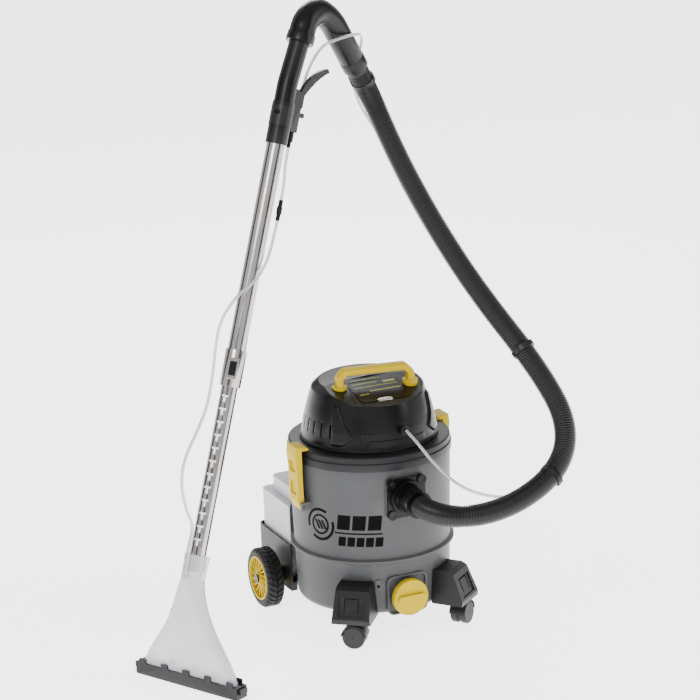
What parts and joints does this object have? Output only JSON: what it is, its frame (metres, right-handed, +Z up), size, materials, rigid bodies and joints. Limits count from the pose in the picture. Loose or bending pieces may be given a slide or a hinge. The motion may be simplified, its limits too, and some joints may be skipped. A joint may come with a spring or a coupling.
{
  "type": "carpet cleaner machine",
  "caption": "Canister carpet cleaner: grey tank on wheels, black motor head, rear water bottle, hose, telescopic wand with trigger and clear floor nozzle.",
  "frame": {"origin": "on the floor, straight below the tank's axis", "axes": "+Z up; the hose inlet and drain cap face -Y; +X is the side away from the wand; the clear nozzle stands on the floor at -X"},
  "size_m": [0.8367, 0.6167, 1.2409],
  "materials": {
    "grey_shell": "satin moulded",
    "dark_plastic": "satin",
    "black_plastic": "satin",
    "rubber": "matte",
    "label": "gloss print",
    "yellow": "satin",
    "motor_steel": "satin",
    "aluminium": "satin",
    "float_white": "satin",
    "foam": "open foam",
    "screw": "satin",
    "caster_grey": "satin",
    "caster_wheel": "matte",
    "tyre": "matte",
    "translucent": "frosted",
    "clear": "clear",
    "steel": "polished",
    "hose_black": "corrugated",
    "tube_clear": "clear"
  },
  "bodies": {
    "machine": {"tank": "grey_shell", "head_base": "dark_plastic", "head_gasket": "rubber", "head_cover": "black_plastic", "head_label": "label", "carry_handle": "yellow", "switch_bezels": "dark_plastic", "water_outlet": "black_plastic", "cable_gland": "black_plastic", "fan_housing": "dark_plastic", "motor": "motor_steel", "pump": "dark_plastic", "float_cage": "dark_plastic", "filter_sleeve": "foam", "inlet_flange": "black_plastic", "inlet_screws": "screw", "machine_cuff": "black_plastic", "latch_pins": "screw", "caster_housing_left": "caster_grey", "caster_housing_right": "caster_grey", "stub_axles": "screw", "rear_tray": "dark_plastic", "feed_pipe": "dark_plastic", "nozzle_body": "clear", "nozzle_strip": "dark_plastic", "spray_pipe": "black_plastic", "inner_tube": "steel", "outer_tube": "steel", "lock_collar": "steel", "grip": "black_plastic", "elbow": "black_plastic", "wand_cuff": "black_plastic", "trigger_valve": "black_plastic", "lever_pin": "screw", "hose": "hose_black", "pressure_tube": "tube_clear", "spray_tube_upper": "tube_clear", "spray_tube_lower": "tube_clear", "tube_connector": "black_plastic", "tube_clips": "black_plastic"},
    "wheel_left": {"tyre_left": "tyre", "wheel_rim_left": "yellow"},
    "wheel_right": {"tyre_right": "tyre", "wheel_rim_right": "yellow"},
    "caster_left": {"caster_fork_left": "caster_grey"},
    "caster_right": {"caster_fork_right": "caster_grey"},
    "caster_roll_left": {"caster_wheels_left": "caster_wheel"},
    "caster_roll_right": {"caster_wheels_right": "caster_wheel"},
    "latch_left": {"latch_left": "yellow"},
    "latch_right": {"latch_right": "yellow"},
    "switch_suction": {"switch_suction": "black_plastic"},
    "switch_pump": {"switch_pump": "black_plastic"},
    "trigger": {"trigger_lever": "black_plastic"},
    "bleed_ring": {"bleed_ring": "black_plastic"},
    "lock_button": {"lock_button": "black_plastic"},
    "drain_cap": {"drain_cap": "yellow"},
    "float": {"float_ball": "float_white"},
    "impeller": {"impeller": "aluminium"},
    "bottle": {"bottle": "translucent"},
    "bottle_cap": {"bottle_cap": "black_plastic"}
  },
  "joints": [
    {"name": "wheel_spin_left", "type": "hinge", "parent": "machine", "child": "wheel_left", "pos_m": [-0.178, 0.136, 0.061], "axis": [1, 0, 0], "continuous": true},
    {"name": "caster_swivel_left", "type": "hinge", "parent": "machine", "child": "caster_left", "pos_m": [-0.11957, -0.14766, 0.052], "axis": [0, 0, 1], "continuous": true},
    {"name": "caster_roll_left", "type": "hinge", "parent": "caster_left", "child": "caster_roll_left", "pos_m": [-0.11335, -0.15269, 0.0225], "axis": [-0.6293, -0.7771, 0], "continuous": true},
    {"name": "latch_swing_left", "type": "hinge", "parent": "machine", "child": "latch_left", "pos_m": [-0.1665, -0.022, 0.266], "axis": [0, -1, 0], "range_deg": [0, 70]},
    {"name": "wheel_spin_right", "type": "hinge", "parent": "machine", "child": "wheel_right", "pos_m": [0.178, 0.136, 0.061], "axis": [1, 0, 0], "continuous": true},
    {"name": "caster_swivel_right", "type": "hinge", "parent": "machine", "child": "caster_right", "pos_m": [0.11957, -0.14766, 0.052], "axis": [0, 0, 1], "continuous": true},
    {"name": "caster_roll_right", "type": "hinge", "parent": "caster_right", "child": "caster_roll_right", "pos_m": [0.12579, -0.14262, 0.0225], "axis": [0.6293, -0.7771, 0], "continuous": true},
    {"name": "latch_swing_right", "type": "hinge", "parent": "machine", "child": "latch_right", "pos_m": [0.1665, 0.022, 0.266], "axis": [0, 1, 0], "range_deg": [0, 70]},
    {"name": "switch_suction_rock", "type": "hinge", "parent": "machine", "child": "switch_suction", "pos_m": [-0.022, 0.046, 0.489], "axis": [1, 0, 0], "range_deg": [-7, 7]},
    {"name": "switch_pump_rock", "type": "hinge", "parent": "machine", "child": "switch_pump", "pos_m": [0.022, 0.046, 0.489], "axis": [1, 0, 0], "range_deg": [-7, 7]},
    {"name": "trigger_squeeze", "type": "hinge", "parent": "machine", "child": "trigger", "pos_m": [-0.11397, 0.01555, 1.06172], "axis": [0.4664, -0.8846, 0], "range_deg": [0, 16], "stiffness_Nm_per_rad": 0.6, "springref_deg": -5.73},
    {"name": "bleed_ring_turn", "type": "hinge", "parent": "machine", "child": "bleed_ring", "pos_m": [-0.16414, -0.0109, 1.03698], "axis": [0.3184, 0.1679, 0.933], "range_deg": [-45, 45]},
    {"name": "lock_button_press", "type": "slide", "parent": "machine", "child": "lock_button", "axis": [0.3935, 0.872, -0.2912], "range_m": [0, 0.002], "stiffness_N_per_m": 600, "springref_m": -0.002},
    {"name": "drain_cap_turn", "type": "hinge", "parent": "machine", "child": "drain_cap", "pos_m": [0, -0.166, 0.087], "axis": [0, -1, 0], "range_deg": [0, 90]},
    {"name": "float_rise", "type": "slide", "parent": "machine", "child": "float", "axis": [0, 0, 1], "range_m": [0, 0.04]},
    {"name": "impeller_spin", "type": "hinge", "parent": "machine", "child": "impeller", "pos_m": [0, 0, 0.374], "axis": [0, 0, 1], "continuous": true},
    {"name": "bottle_lift", "type": "slide", "parent": "machine", "child": "bottle", "axis": [0, 0, 1], "range_m": [0, 0.2]},
    {"name": "bottle_cap_turn", "type": "hinge", "parent": "bottle", "child": "bottle_cap", "pos_m": [0, 0.2, 0.292], "axis": [0, 0, 1], "range_deg": [0, 180]}
  ]
}
